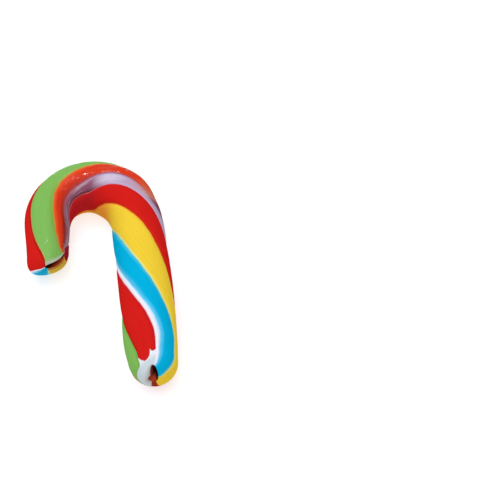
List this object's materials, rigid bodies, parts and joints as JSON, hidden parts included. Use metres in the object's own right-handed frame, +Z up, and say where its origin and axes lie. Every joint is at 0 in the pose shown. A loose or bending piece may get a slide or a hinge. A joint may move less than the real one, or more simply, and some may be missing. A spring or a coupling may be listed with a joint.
{
  "type": "candy cane",
  "caption": "Thick pulled-sugar candy cane lying on its side, with a tight crook, a slow twist of coloured bands and pinched ends.",
  "frame": {"origin": "on the surface it lies on, under the middle of the cane's box", "axes": "+Y along the shaft from the foot to the crown, +Z up out of the surface it lies on, the nose on the -X side"},
  "size_m": [0.0482, 0.0954, 0.0192],
  "materials": {
    "boiled_sugar": "glossy hard boiled sugar in green, orange, lilac, red, yellow, blue and white bands"
  },
  "bodies": {
    "root": {"cane": "boiled_sugar"}
  },
  "joints": []
}
